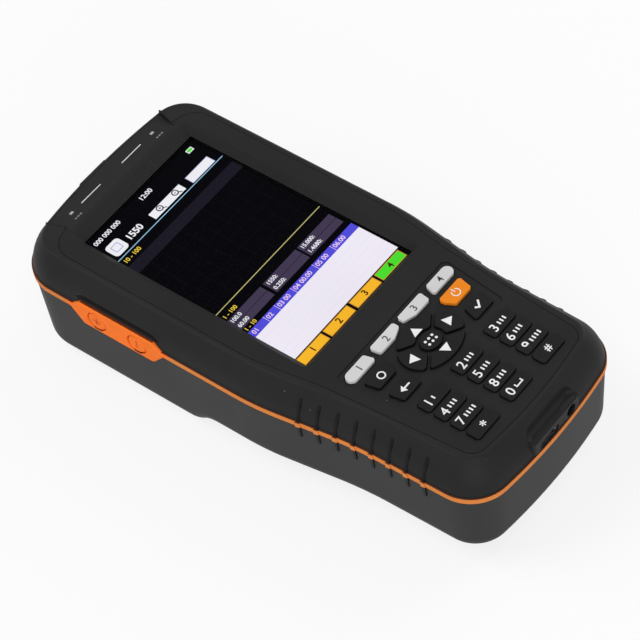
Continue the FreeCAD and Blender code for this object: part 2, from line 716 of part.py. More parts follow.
def faceplate():
    plate = prism(seam_corners(fit_gap), plate_under, face_z)
    brow = prism(seam_corners(fit_gap), brow_under, face_z).common(
        beyond(brow_start_y - 2.2 + fit_gap))
    plate = plate.fuse(brow).cut(brow_wedge()).cut(screen_opening()).cut(key_panel())
    low, high = plate_under - 1, face_z + 1
    for points in shaped_keys.values():
        plate = plate.cut(prism(key_outline(grown(points, key_gap)), low, high))
    for opening in arrow_ring(key_gap, low, high, 0.6).values():
        plate = plate.cut(opening)
    plate = plate.cut(oval(centre_half_width + key_gap, centre_half_length + key_gap, low, high))
    for x, y in light_pipe_spots:
        plate = plate.cut(box(x - 0.75, x + 0.75, y - 0.55, y + 0.55, brow_under - 5, high))
    return plate


def key_board_outline():
    low, high = nav_y - 32.0, nav_y + 11.6
    return [(24.6, low, 0), (28.6, high, 0), (-28.6, high, 0), (-24.6, low, 0)]


def main_board():
    """Circuit board on the plane of the seal, clear of the four screw bosses."""
    outline = chamfered(section_corners(shrink(seal_section, 7.0)))
    board = prism(outline, main_board_under, main_board_top)
    board = board.fuse(box(-13, 13, socket_face_y + 4.0, socket_face_y + 10,
                           main_board_under, main_board_top))
    for x, y in case_screw_spots:
        board = board.cut(cylinder(x, y, main_board_under - 1, boss_radius + 0.4, 4))
    return board


def module_frame(gap):
    half, low, high = display_width / 2, display_y - display_length / 2, display_y + display_length / 2
    return box(-half - 2.6 - gap, half + 2.6 + gap, low - 6.6 - gap, high + 2.4 + gap,
               window_under - 3.2 - gap, window_under)


def display_module():
    """Liquid crystal panel: a flat frame with the glass let into it."""
    half, low, high = display_width / 2, display_y - display_length / 2, display_y + display_length / 2
    frame = module_frame(0)
    well = box(-half - 0.7, half + 0.7, low - 1.8, high + 0.8, window_under - 0.6, window_under + 1)
    glass = box(-half - 0.5, half + 0.5, low - 1.6, high + 0.6,
                window_under - 1.0, window_under - 0.1)
    return frame.cut(well).fuse(glass)


def optical_module():
    """Sealed laser and receiver box, with cooling ribs on its upper side."""
    low, high = bay_y1 + 14.0, cap_y - 3.1
    top = main_board_under - 8.6
    body = prism(rectangle(50.0, high - low, (low + high) / 2, 2.0), wall, top)
    for i in range(7):
        y = low + 5.0 + i * 7.0
        body = body.fuse(box(-22, 22, y - 0.8, y + 0.8, top, top + 2.4))
    return body


def battery_pack():
    """Three lithium cells side by side, shrink-wrapped into one pack."""
    y, z = bay_y0 + 0.6, cell_z
    cells = [cylinder(i * cell_spacing, y, z, cell_radius, cell_length, (0, 1, 0))
             for i in (-1, 0, 1)]
    wrap = box(-cell_spacing, cell_spacing, y, y + cell_length,
               z - cell_radius + 1.4, z + cell_radius - 1.4)
    return union(cells + [wrap])


def cover_outline(gap):
    return chamfered(rectangle(2 * (cover_half - gap), cover_y1 - cover_y0 - 2 * gap,
                               (cover_y0 + cover_y1) / 2, 3.0 - gap))


def battery_cover():
    low, high = grip_lift, grip_lift + wall
    plate = prism(cover_outline(0.2), low, high)
    for x, yy in cover_screw_spots:
        plate = plate.cut(cylinder(x, yy, low - 1, 2.2, 2.2))
        plate = plate.cut(cylinder(x, yy, low - 1, 1.1, 9))
    lip = box(-bay_half + 0.3, bay_half - 0.3, bay_y0 + 0.3, bay_y1 - 0.3, high, high + 0.5)
    lip = lip.cut(box(-bay_half + 1.9, bay_half - 1.9, bay_y0 + 1.9, bay_y1 - 1.9, high, 60))
    return plate.fuse(lip)


def tail_foot():
    """Rubber skid under the socket end that brings the grip level with the deep half."""
    pad = box(-8.5, 8.5, -half_length + 6.7, -half_length + 12.7, 0.0, grip_lift + 2.4)
    pad = pad.makeFillet(1.4, [e for e in pad.Edges if e.BoundBox.ZMax < 0.01])
    return pad.cut(lower_form())


def adapter(x):
    """Bulkhead adapter for a 2.5 mm ferrule: flange, threaded nose and sleeve bore."""
    start, floor = cap_y - 1.5, port_bay_floor
    body = cylinder(x, start, ports_z, adapter_body_radius, floor - start, (0, 1, 0))
    flange = cylinder(x, floor, ports_z, adapter_flange_radius, 1.4, (0, 1, 0))
    nose = cylinder(x, floor, ports_z, adapter_nose_radius, 1.4 + ferrule_depth, (0, 1, 0))
    sleeve = cylinder(x, floor + 1.4, ports_z, ferrule_radius, ferrule_depth, (0, 1, 0))
    key_slot = box(x - 0.9, x + 0.9, floor + 5.0, floor + 9.0, ports_z, ports_z + 9)
    return union([body, flange, nose]).cut(sleeve).cut(key_slot)


def port_cover():
    """Flip-up dust cover over the ports, curved like the end wall, with a thumb tab."""
    z0, z1 = port_cover_z
    zone = box(-port_cover_half, port_cover_half, cap_y + 5, half_length + 20, z0, z1)
    outside = base_taper(-0.35)
    cover = outside.common(zone).cut(base_taper(1.2)).fuse(port_tab())
    for x0, x1 in barrel_spans:
        barrel = cylinder(x0, hinge_y, hinge_z, barrel_radius, x1 - x0, (1, 0, 0))
        web = box(x0, x1, hinge_y + 0.3, half_length + 20, hinge_z - 0.2, z0 + 1.2)
        cover = cover.fuse(barrel).fuse(web.common(outside))
    return cover.cut(cylinder(-pin_half - 6, hinge_y, hinge_z, pin_radius + 0.08,
                              2 * pin_half + 12, (1, 0, 0)))


def port_tab():
    """Thumb tab that laps over the seal and lies on the upper shell."""
    half, thick, tip_z = 6.0, 1.0, face_z - 6.6
    lift = [(strip_bottom - 3.0, 0.35), (strip_bottom - 0.6, 0.75), (strip_top + 0.6, 0.75)]
    inner = [Vector(-half, end_wall_y(z) + out, z) for z, out in lift]
    inner.append(Vector(-half, shoulder_y(tip_z) + 0.12, tip_z))
    outer = [p + Vector(0, thick, 0) for p in reversed(inner)]
    loop = inner + outer
    loop[0] = loop[0] + Vector(0, -1.2, 0)
    return Part.Face(Part.makePolygon(loop + [loop[0]])).extrude(Vector(2 * half, 0, 0))


def end_wall_y(z):
    """How far the port end reaches on the middle line, at a height up to the seal."""
    below = max(0.0, strip_bottom - z)
    return seal_section[4] - draft_inset * below / strip_bottom


def shoulder_y(z):
    """How far the port end reaches on the middle line, at a height above the seal."""
    stations = shoulder_stations(9)
    for (z0, share0), (z1, share1) in zip(stations, stations[1:]):
        if z0 <= z <= z1:
            share = share0 + (share1 - share0) * (z - z0) / (z1 - z0)
    return seal_section[4] - face_inset[4] * share


def dc_jack():
    """Barrel socket: a block with a round well and a centre pin."""
    front = socket_face_y + 0.8
    body = box(jack_x - 3.3, jack_x + 3.3, front, front + 11.2, main_board_top, jack_z + 2.6)
    body = body.cut(cylinder(jack_x, front - 1, jack_z, jack_radius - 0.1, 10.4, (0, 1, 0)))
    return body.fuse(cylinder(jack_x, front + 0.6, jack_z, jack_pin_radius, 9.0, (0, 1, 0)))


def usb_socket():
    """Steel socket shell with its tongue."""
    front = socket_face_y + 0.6
    body = box(usb_x - 4.9, usb_x + 4.9, front, front + 7.8, main_board_top, usb_z + 1.75)
    body = body.cut(slot_prism(usb_x, usb_z, 8.4, 2.6, front - 1, front + 6.8))
    return body.fuse(box(usb_x - 3.4, usb_x + 3.4, front + 1.6, front + 7.4,
                         usb_z - 0.35, usb_z + 0.35))


def side_key(y):
    x_face = pad_outer_x + 0.1
    cap = side_key_bore(y, side_key_radius, x_face, pad_inner_x + 0.1)
    cap = cap.makeChamfer(0.5, [e for e in cap.Edges if e.BoundBox.XMax < x_face + 0.01])
    flange = side_key_bore(y, side_key_radius + 0.8, pad_inner_x + 0.1, pad_inner_x + 0.9)
    stem = side_key_bore(y, 1.2, pad_inner_x + 0.9, switch_x - 0.7)
    return union([cap, flange, stem])


def build():
    export(upper_shell(), "front_housing")
    export(lower_shell(), "rear_housing")
    export(end_cap(), "end_cap")
    export(seal_strip(), "seal_strip")
    export(faceplate(), "faceplate")

    window = prism(rectangle(display_width + 3.0, display_length + 3.2, display_y, 1.0),
                   window_under, plate_under)
    export(window, "display_window")
    export(display_module(), "display_module")

    export(prism(grown(key_board_outline(), -0.6), mat_under, mat_top), "keypad_mat")
    export(prism(key_board_outline(), key_board_under, mat_under), "key_board")
    export(box(-9, 9, -64, -58, main_board_top, key_board_under), "board_connector")
    export(main_board(), "main_board")
    export(prism(rectangle(30, 34, -20.0, 1.0), main_board_top, main_board_top + 2.4),
           "board_shield")
    export(optical_module(), "optical_module")
    export(battery_pack(), "battery_pack")
    export(box(-11, 11, bay_y0 + 0.6 + cell_length, bay_y1, 12.0, 22.0), "battery_contacts")
    export(battery_cover(), "battery_cover")
    export(tail_foot(), "tail_foot")
    export(dc_jack(), "dc_jack")
    export(usb_socket(), "usb_socket")
    for name, x in zip(("otdr_adapter", "vfl_adapter"), adapter_xs):
        export(adapter(x), name)
    export(port_cover(), "port_cover")
    export(cylinder(-pin_half, hinge_y, hinge_z, pin_radius, 2 * pin_half, (1, 0, 0)),
           "port_cover_pin")

    for name, y in zip(("side_key_plus", "side_key_minus"), side_key_ys):
        export(side_key(y), name)
    export(Part.makeCompound([box(switch_x, switch_x + 6, y - 3.1, y + 3.1, main_board_under - 3.6,
                                  main_board_under) for y in side_key_ys]), "side_switches")
    export(Part.makeCompound([light_pipe(x, y) for x, y in light_pipe_spots]), "status_lights")

    case_screws = []
    for x, y in case_screw_spots:
        head_z = rear_floor(y) + 1.4
        length = strip_top + 1.2 - head_z - screw_head_height
        case_screws.append(screw(x, y, head_z, length, screw_hole - 0.15, screw_head_radius,
                                 screw_head_height))
    export(Part.makeCompound(case_screws), "case_screws")
    export(Part.makeCompound([screw(x, y, grip_lift + 0.05, 7.0, 0.9, 1.9, 1.1)
                              for x, y in cover_screw_spots]), "cover_screws")
    export(Part.makeCompound([standoff(x, y) for x, y in standoff_spots]), "board_standoffs")

    for name, points in shaped_keys.items():
        export(key_solid(points), name)
    for name, key in nav_keys().items():
        export(key, name)
    export(centre_key(), "key_centre")


def standoff(x, y):
    """Hexagonal brass pillar between the battery bay and the main board."""
    low = bay_top + 1.4
    corners = []
    for i in range(6):
        angle = math.radians(60 * i)
        corners.append((x + standoff_radius * math.cos(angle),
                        y + standoff_radius * math.sin(angle), 0))
    return prism(corners, low, main_board_under)


def light_pipe(x, y):
    pipe = box(x - 0.7, x + 0.7, y - 0.5, y + 0.5, main_board_top + 0.6, face_z)
    return pipe.cut(brow_wedge())


build()
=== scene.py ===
import json
import math
import bmesh
import bpy
from mathutils import Matrix, Vector


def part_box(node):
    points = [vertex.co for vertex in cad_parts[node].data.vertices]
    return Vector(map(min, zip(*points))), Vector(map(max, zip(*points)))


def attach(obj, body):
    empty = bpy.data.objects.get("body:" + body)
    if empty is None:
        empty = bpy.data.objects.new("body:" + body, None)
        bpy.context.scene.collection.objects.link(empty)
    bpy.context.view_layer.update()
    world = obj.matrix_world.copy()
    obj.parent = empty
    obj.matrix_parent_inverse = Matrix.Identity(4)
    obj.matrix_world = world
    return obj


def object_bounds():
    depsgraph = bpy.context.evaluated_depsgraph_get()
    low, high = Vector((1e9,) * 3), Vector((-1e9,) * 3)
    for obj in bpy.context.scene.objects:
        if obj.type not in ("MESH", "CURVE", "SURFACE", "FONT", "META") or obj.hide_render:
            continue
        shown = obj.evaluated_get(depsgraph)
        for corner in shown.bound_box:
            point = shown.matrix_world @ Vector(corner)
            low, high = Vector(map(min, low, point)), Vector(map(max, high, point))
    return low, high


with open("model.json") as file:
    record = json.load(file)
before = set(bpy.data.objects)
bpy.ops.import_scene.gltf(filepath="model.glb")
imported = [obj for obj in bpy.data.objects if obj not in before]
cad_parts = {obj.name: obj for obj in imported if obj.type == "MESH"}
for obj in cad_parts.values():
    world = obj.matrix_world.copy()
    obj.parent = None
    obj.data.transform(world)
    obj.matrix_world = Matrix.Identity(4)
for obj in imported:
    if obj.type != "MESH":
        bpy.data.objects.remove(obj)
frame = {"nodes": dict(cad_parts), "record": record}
cad_low, cad_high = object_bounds()

MM = 0.001
scene = bpy.context.scene
nodes = frame["nodes"]


# ---------------------------------------------------------------- levels, read from the frame
key_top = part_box("key_5")[1].z
seal_low, seal_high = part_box("seal_strip")
window_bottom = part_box("display_window")[0].z
all_keys = [name for name in nodes if name.startswith("key_") and name != "key_board"]


def centre_of(name):
    low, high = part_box(name)
    return (low + high) / 2


# ---------------------------------------------------------------- materials
def new_material(name):
    material = bpy.data.materials.new(name)
    material.use_nodes = True
    tree = material.node_tree
    return material, tree, tree.nodes["Principled BSDF"]


def add(tree, kind, **settings):
    node = tree.nodes.new(kind)
    for key, value in settings.items():
        if key in node.inputs:
            node.inputs[key].default_value = value
        else:
            setattr(node, key, value)
    return node


def grain(tree, scale, detail=2.0, kind="ShaderNodeTexNoise"):
    """A noise that stays fixed to the object, scale in cells per metre."""
    where = add(tree, "ShaderNodeTexCoord")
    noise = add(tree, kind, Scale=scale)
    if kind == "ShaderNodeTexNoise":
        noise.inputs["Detail"].default_value = detail
    tree.links.new(where.outputs["Object"], noise.inputs["Vector"])
    return noise


def ramp(tree, source, low, high, start=0.35, end=0.65):
    """Maps a noise to the run between two colours."""
    node = add(tree, "ShaderNodeValToRGB")
    node.color_ramp.elements[0].position = start
    node.color_ramp.elements[1].position = end
    node.color_ramp.elements[0].color = (*low, 1)
    node.color_ramp.elements[1].color = (*high, 1)
    tree.links.new(source, node.inputs["Fac"])
    return node.outputs["Color"]


def span(tree, source, low, high):
    node = add(tree, "ShaderNodeMapRange")
    node.inputs["To Min"].default_value = low
    node.inputs["To Max"].default_value = high
    tree.links.new(source, node.inputs["Value"])
    return node.outputs["Result"]


def bump(tree, shader, height, strength, distance):
    node = add(tree, "ShaderNodeBump", Strength=strength, Distance=distance)
    tree.links.new(height, node.inputs["Height"])
    tree.links.new(node.outputs["Normal"], shader.inputs["Normal"])


def shade(colour, factor):
    return tuple(min(1.0, part * factor) for part in colour)


def combine(tree, operation, first, second):
    node = add(tree, "ShaderNodeMath", operation=operation)
    for socket, value in zip(node.inputs, (first, second)):
        if isinstance(value, (int, float)):
            socket.default_value = value
        else:
            tree.links.new(value, socket)
    return node.outputs[0]


def blend_colours(tree, factor, colour_out, tint, blend="MIX"):
    mix = add(tree, "ShaderNodeMix", data_type="RGBA", blend_type=blend)
    first, second = [socket for socket in mix.inputs if socket.type == "RGBA"]
    tree.links.new(factor, mix.inputs[0])
    tree.links.new(colour_out, first)
    second.default_value = (*tint, 1)
    return [socket for socket in mix.outputs if socket.type == "RGBA"][0]


def recolour(material, make_mask, tint, blend="MIX"):
    """Blends a tint over the material's own colour, where a mask of the surface is 1."""
    tree = material.node_tree
    base = tree.nodes["Principled BSDF"].inputs["Base Color"]
    colour_out = base.links[0].from_socket
    tree.links.new(blend_colours(tree, make_mask(tree), colour_out, tint, blend), base)
    return material


def coordinates(tree, kind, output):
    """The three parts of a texture coordinate or of the surface normal."""
    source = add(tree, kind)
    parts = add(tree, "ShaderNodeSeparateXYZ")
    tree.links.new(source.outputs[output], parts.inputs[0])
    return parts.outputs


def all_of(tree, *tests):
    """1 where every test holds: each is (operation, socket, limit)."""
    masks = [combine(tree, operation, source, limit) for operation, source, limit in tests]
    result = masks[0]
    for mask in masks[1:]:
        result = combine(tree, "MULTIPLY", result, mask)
    return result


wide_speck = (3.1, 0.16, 0.16)      # pitch and radius in millimetres, grey level
fine_speck = (1.1, 0.09, 0.09)


def dusted(tree, colour_out, speck, share):
    """Sprinkles pale specks, in a share of the cells of a loose pattern."""
    pitch, radius, grey = speck
    cells = grain(tree, 1 / (pitch * MM), kind="ShaderNodeTexVoronoi")
    parts = add(tree, "ShaderNodeSeparateColor")
    tree.links.new(cells.outputs["Color"], parts.inputs["Color"])
    near = combine(tree, "LESS_THAN", cells.outputs["Distance"], radius / pitch)
    chosen = combine(tree, "LESS_THAN", parts.outputs["Red"], share)
    return blend_colours(tree, combine(tree, "MULTIPLY", near, chosen), colour_out,
                         (grey, grey, grey))


def moulded(name, colour, rough, cell=0.25, relief=0.25, variation=0.08, specular=0.5, metal=0.0,
            dust=0.0):
    """Moulded plastic or rubber: spark-eroded grain, soft colour drift, uneven gloss."""
    material, tree, shader = new_material(name)
    drift = grain(tree, 45.0, 3.0)
    fine = grain(tree, 1 / (cell * MM), 2.0)
    colour_out = ramp(tree, drift.outputs["Fac"], shade(colour, 1 - variation),
                      shade(colour, 1 + variation))
    if dust:
        colour_out = dusted(tree, colour_out, wide_speck, dust)
        colour_out = dusted(tree, colour_out, fine_speck, dust)
    tree.links.new(colour_out, shader.inputs["Base Color"])
    tree.links.new(span(tree, fine.outputs["Fac"], rough - 0.06, rough + 0.06),
                   shader.inputs["Roughness"])
    bump(tree, shader, fine.outputs["Fac"], relief, 0.05 * MM)
    shader.inputs["Specular IOR Level"].default_value = specular
    shader.inputs["Metallic"].default_value = metal
    return material


def seamed(material, dark, operation, turn):
    """Darkens a material with painted shade where the upward part of its surface normal passes a limit.
    """
    def in_seam(tree):
        upright = coordinates(tree, "ShaderNodeNewGeometry", "Normal")["Z"]
        return combine(tree, operation, combine(tree, "ABSOLUTE", upright, 0.0), turn)
    return recolour(material, in_seam, dark)


def edged(material, dark):
    """Darkens a material with painted shade where its surface turns up or down into a seam, so the seam
    reads as a dark shadow gap.
    """
    return seamed(material, dark, "GREATER_THAN", 0.9)


def walled(material, dark):
    """Darkens a material with painted shade on the upright walls that stand in its seam."""
    return seamed(material, dark, "LESS_THAN", 0.3)


def duller_strip(material, change):
    """The thin strip round the housing is duller than the side pad, which keeps the full colour."""
    pad_end = 8.0 * MM         # from the outer edge of a side key to the tip of the pad

    def off_pad(tree):
        where = coordinates(tree, "ShaderNodeTexCoord", "Object")
        pad = all_of(tree, ("LESS_THAN", where["X"], 0.0),
                     ("GREATER_THAN", where["Y"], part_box("side_key_minus")[0].y - pad_end),
                     ("LESS_THAN", where["Y"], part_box("side_key_plus")[1].y + pad_end))
        return combine(tree, "SUBTRACT", 1.0, pad)
    return recolour(material, off_pad, change, "MULTIPLY")


def grip_ribs():
    """The ribs that stand proud of the grip, found on the housing: middles, width, and heights."""
    step, beside = 0.05 * MM, 2.0 * MM
    clear_rise, least_rise = 0.2 * MM, 0.05 * MM
    narrowest, widest = 0.5 * MM, 2.0 * MM
    seal_middle = (seal_low.z + seal_high.z) / 2
    above_seal, below_seal = seal_middle + 2.5 * MM, seal_middle - 1.5 * MM

    def side(y, z):
        for shell in (nodes["front_housing"], nodes["rear_housing"]):
            hit, place, normal, index = shell.ray_cast(Vector((2 * cad_low.x, y, z)),
                                                       Vector((1, 0, 0)))
            if hit:
                return place.x
        return 0.0

    def on_rib(y, z, rise):
        return side(y, z) < (side(y - beside, z) + side(y + beside, z)) / 2 - rise

    count = int((cad_high.y - cad_low.y) / 2 / step)
    groups = []
    for y in (-i * step for i in range(count) if on_rib(-i * step, above_seal, clear_rise)):
        if groups and abs(groups[-1][-1] - y) < 1.5 * step:
            groups[-1].append(y)
        else:
            groups.append([y])
    groups = [group for group in groups if narrowest < group[0] - group[-1] < widest]
    middles = [(group[0] + group[-1]) / 2 for group in groups]
    top, foot = above_seal, below_seal
    while any(on_rib(y, top, least_rise) for y in middles):
        top += step
    while any(on_rib(y, foot, least_rise) for y in middles):
        foot -= step
    return middles, groups[0][0] - groups[0][-1], foot, top


ribs, rib_width, rib_foot, rib_top = grip_ribs()
# painted shade laid over each rib of the grip and a narrow band beside it
rib_shade_colour = (0.0045, 0.0045, 0.0046)
rib_shade_spread = 0.12 * MM       # how far the painted shade of a rib spreads on each side


def ribbed(material, dark=rib_shade_colour):
    """Darkens the ribs of the grip with painted shade, so they read as dark lines against the shell."""
    pitch = ribs[0] - ribs[1]

    def over_ribs(tree):
        where = coordinates(tree, "ShaderNodeTexCoord", "Object")
        along = combine(tree, "DIVIDE", combine(tree, "SUBTRACT", where["Y"], ribs[0]), pitch)
        nearest = combine(tree, "ROUND", along, 0.0)
        off = combine(tree, "ABSOLUTE", combine(tree, "SUBTRACT", along, nearest), 0.0)
        return all_of(tree, ("LESS_THAN", off, (rib_width / 2 + rib_shade_spread) / pitch),
                      ("GREATER_THAN", where["Y"], ribs[-1] - pitch / 2),
                      ("LESS_THAN", where["Y"], ribs[0] + pitch / 2),
                      ("GREATER_THAN", where["Z"], rib_foot), ("LESS_THAN", where["Z"], rib_top))
    return recolour(material, over_ribs, dark)


def metal(name, colour, rough, cell=0.4, relief=0.15):
    return moulded(name, colour, rough, cell, relief, 0.05, 0.5, 1.0)


def glowing(name, colour, strength=1.0):
    """One colour of the lit picture, with the faint unevenness of a backlight."""
    material, tree, shader = new_material(name)
    light = grain(tree, 30.0, 1.0)
    colour_out = ramp(tree, light.outputs["Fac"], shade(colour, 0.96), colour, 0.3, 0.7)
    tree.links.new(colour_out, shader.inputs["Emission Color"])
    shader.inputs["Base Color"].default_value = (0, 0, 0, 1)
    shader.inputs["Emission Strength"].default_value = strength
    shader.inputs["Roughness"].default_value = 0.15
    shader.inputs["Specular IOR Level"].default_value = 0.02
    return material


def clear(name, tint, rough, share):
    """A thin clear sheet: a share of it is seen, the rest lets the light through."""
    material, tree, shader = new_material(name)
    smear = grain(tree, 60.0, 3.0)
    tree.links.new(span(tree, smear.outputs["Fac"], rough * 0.7, rough * 1.4),
                   shader.inputs["Roughness"])
    shader.inputs["Base Color"].default_value = (*tint, 1)
    shader.inputs["Alpha"].default_value = share
    shader.inputs["Specular IOR Level"].default_value = 0
    return material


paint = {
    # both shells carry the painted shade of the grip ribs
    "charcoal_shell": ribbed(moulded("charcoal_shell", (0.0125, 0.0125, 0.0127), 0.55,
                                     specular=0.12, dust=0.05)),
    "grey_shell": ribbed(moulded("grey_shell", (0.024, 0.024, 0.0242), 0.55, specular=0.15,
                                 dust=0.05)),
    # painted shade on the faceplate's upright walls, so its seams read dark
    "charcoal_face": walled(moulded("charcoal_face", (0.0120, 0.0120, 0.0122), 0.58, specular=0.11,
                                    dust=0.06), (0.002, 0.002, 0.002)),
    # painted shade on the strip's upward and downward faces, so its seams read as dark gaps
    "orange_rubber": duller_strip(edged(moulded(
        "orange_rubber", (0.86, 0.175, 0.022), 0.6, 0.35, 0.15, 0.05, 0.06), (0.16, 0.030, 0.008)),
        (0.74, 1.18, 2.1)),
    "display_glass": clear("display_glass", (0.01, 0.01, 0.012), 0.08, 0.03),
    "display_frame": moulded("display_frame", (0.002, 0.002, 0.002), 0.5, specular=0.1),
    "membrane": moulded("membrane", (0.03, 0.03, 0.03), 0.55),
    "circuit_board": moulded("circuit_board", (0.015, 0.11, 0.05), 0.35, 0.6, 0.1, 0.2),
    "socket_plastic": moulded("socket_plastic", (0.006, 0.006, 0.006), 0.4, specular=0.25),
    "socket_steel": metal("socket_steel", (0.42, 0.42, 0.43), 0.3),
    "shield_steel": metal("shield_steel", (0.55, 0.56, 0.57), 0.3),
    "brass": metal("brass", (0.65, 0.48, 0.22), 0.28),
    "module_aluminium": metal("module_aluminium", (0.50, 0.51, 0.52), 0.45, 0.3, 0.3),
    "battery_wrap": moulded("battery_wrap", (0.03, 0.09, 0.28), 0.3, 0.8, 0.1),
    "grey_rubber": moulded("grey_rubber", (0.10, 0.10, 0.10), 0.6),
    "nickel": metal("nickel", (0.40, 0.39, 0.36), 0.32),
    "cover_rubber": moulded("cover_rubber", (0.016, 0.016, 0.0163), 0.6, specular=0.12, dust=0.05),
    "pin_steel": metal("pin_steel", (0.22, 0.22, 0.22), 0.38),
    "light_pipe": moulded("light_pipe", (0.35, 0.35, 0.36), 0.3),
    "screw_steel": metal("screw_steel", (0.08, 0.08, 0.085), 0.38),
    "key_rubber": moulded("key_rubber", (0.0050, 0.0050, 0.0052), 0.5, 0.3, 0.12, specular=0.13),
    "key_white": moulded("key_white", (0.60, 0.60, 0.60), 0.45, 0.3, 0.1, 0.03, 0.2),
    "key_orange": moulded("key_orange", (0.82, 0.235, 0.012), 0.45, 0.3, 0.1, 0.05, 0.12),
}
legend_white = moulded("legend_white", (0.80, 0.80, 0.80), 0.5, 0.3, 0.05, 0.03, 0.3)
legend_silver = moulded("legend_silver", (0.72, 0.72, 0.71), 0.4, 0.3, 0.05, 0.05, 0.3)
legend_faint = moulded("legend_faint", (0.22, 0.22, 0.22), 0.5, 0.3, 0.05, 0.05, 0.2)
# painted shade: a darker copy of the shell for the band under the pad hood's lip
shell_shade = moulded("shell_shade", (0.0045, 0.0045, 0.0046), 0.6, specular=0.06)
sign_orange = moulded("sign_orange", (0.62, 0.10, 0.012), 0.5, 0.3, 0.05, 0.05, 0.2)
legend_black = moulded("legend_black", (0.02, 0.02, 0.022), 0.5, 0.3, 0.05, 0.05)


def dress_frame():
    slots = {entry["node"]: entry["material_slot"] for entry in frame["record"]["subparts"]}
    for name, obj in nodes.items():
        obj.data.materials.clear()
        obj.data.materials.append(paint[slots[name]])


meeting_gap = 0.002 * MM   # points nearer than this are one point
key_rounding = 0.35        # millimetres


def soften(name, width, segments=3, angle=35):
    """Rounds the sharp edges of a carried-over part, as a moulding has them."""
    obj = nodes[name]
    weld = obj.modifiers.new("weld", "WELD")
    weld.merge_threshold = meeting_gap
    bevel = obj.modifiers.new("bevel", "BEVEL")
    bevel.width = width * MM
    bevel.segments = segments
    bevel.limit_method = "ANGLE"
    bevel.angle_limit = math.radians(angle)
    bevel.harden_normals = True


# ---------------------------------------------------------------- new pieces
def piece(name, bm, material, body):
    mesh = bpy.data.meshes.new(name)
    bm.to_mesh(mesh)
    bm.free()
    obj = bpy.data.objects.new(name, mesh)
    scene.collection.objects.link(obj)
    for part in material if isinstance(material, list) else [material]:
        mesh.materials.append(part)
    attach(obj, body)


def plate(bm, outline, z, thick):
    """Thin prism through outline points (x, y) in metres."""
    low = [bm.verts.new((x, y, z)) for x, y in outline]
    high = [bm.verts.new((x, y, z + thick)) for x, y in outline]
    bm.faces.new(high)
    count = len(outline)
    for i in range(count):
        j = (i + 1) % count
        bm.faces.new((low[i], low[j], high[j], high[i]))


def bar(x0, x1, y0, y1):
    return [(x0, y0), (x1, y0), (x1, y1), (x0, y1)]


def round_bar(x0, x1, y0, y1, radius, steps=4):
    points = []
    for cx, cy, turn in ((x1 - radius, y0 + radius, -90), (x1 - radius, y1 - radius, 0),
                         (x0 + radius, y1 - radius, 90), (x0 + radius, y0 + radius, 180)):
        for step in range(steps + 1):
            angle = math.radians(turn + 90 * step / steps)
            points.append((cx + radius * math.cos(angle), cy + radius * math.sin(angle)))
    return points


def disc(x, y, radius, count=24):
    return [(x + radius * math.cos(2 * math.pi * i / count),
             y + radius * math.sin(2 * math.pi * i / count)) for i in range(count)]


font_share = 1.38          # the font's size over the height of its capitals
print_depth = 0.02 * MM


def letters(words, height, weight, align="CENTER", depth=0.0):
    """Mesh of printed characters about the origin, a height of their capitals in metres."""
    curve = bpy.data.curves.new("words", "FONT")
    curve.body = words
    curve.size = height * font_share
    curve.align_x, curve.align_y = align, "CENTER"
    curve.extrude = depth
    curve.offset = weight * height
    holder = bpy.data.objects.new("words", curve)
    scene.collection.objects.link(holder)
    bpy.context.view_layer.update()
    mesh = bpy.data.meshes.new_from_object(holder.evaluated_get(
        bpy.context.evaluated_depsgraph_get()))
    bpy.data.objects.remove(holder)
    return mesh


def text_piece(name, words, x, y, z, height, material, body, fixed_height=False,
               bold=0.02):
    """Printed characters, centred on x, y, and lying flat at height z."""
    mesh = letters(words, height, bold, depth=print_depth)
    mesh.name = name
    xs = [v.co.x for v in mesh.vertices]
    ys = [v.co.y for v in mesh.vertices]
    grow = height / (max(ys) - min(ys)) if fixed_height else 1.0
    mesh.transform(Matrix.Diagonal((grow, grow, 1, 1)) @ Matrix.Translation(
        (-(min(xs) + max(xs)) / 2, -(min(ys) + max(ys)) / 2, 0)))
    mesh.transform(Matrix.Translation((x, y, z)))
    obj = bpy.data.objects.new(name, mesh)
    scene.collection.objects.link(obj)
    mesh.materials.append(material)
    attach(obj, body)


# ---------------------------------------------------------------- legends on the keys
legend_lift = 0.005 * MM
legend_thick = 0.03 * MM
arrow_back = 3.4           # from the outer rim of the ring in to the middle of an arrowhead, mm


def legend(key, outlines):
    """Printed marks on a key: outlines are in millimetres from the middle of the key."""
    middle = centre_of(key)
    bm = bmesh.new()
    for outline in outlines:
        plate(bm, [(middle.x + x * MM, middle.y + y * MM) for x, y in outline],
              key_top + legend_lift, legend_thick)
    piece("mark_" + key, bm, legend_white, key)


def number_legends():
    """A large digit at the left of each key, and a row of dashes where the letters would be."""
    dashes = {2: 3, 3: 3, 4: 3, 5: 3, 6: 3, 7: 4, 8: 3, 9: 4}
    digit_height, digit_x = 3.2 * MM, -2.7 * MM
    dash_start, dash_pitch, dash_width, dash_half = -0.6, 1.3, 0.55, 0.75
    space_sign = [(-0.4, 0.5), (-0.4, -0.8), (2.8, -0.8), (2.8, 0.5), (2.35, 0.5),
                  (2.35, -0.35), (0.05, -0.35), (0.05, 0.5)]
    for digit in range(10):
        key = "key_%d" % digit
        middle = centre_of(key)
        text_piece("digit_%d" % digit, str(digit), middle.x + digit_x, middle.y, key_top,
                   digit_height, legend_white, key, bold=0.014)
        starts = [dash_start + dash_pitch * i for i in range(dashes.get(digit, 1))]
        legend(key, [bar(x, x + dash_width, -dash_half, dash_half) for x in starts]
               if digit else [space_sign])
    for key, sign, height in (("key_star", "*", 2.2), ("key_hash", "#", 2.6)):
        middle = centre_of(key)
        text_piece("sign_" + key[4:], sign, middle.x, middle.y, key_top, height * MM,
                   legend_white, key, fixed_height=True)


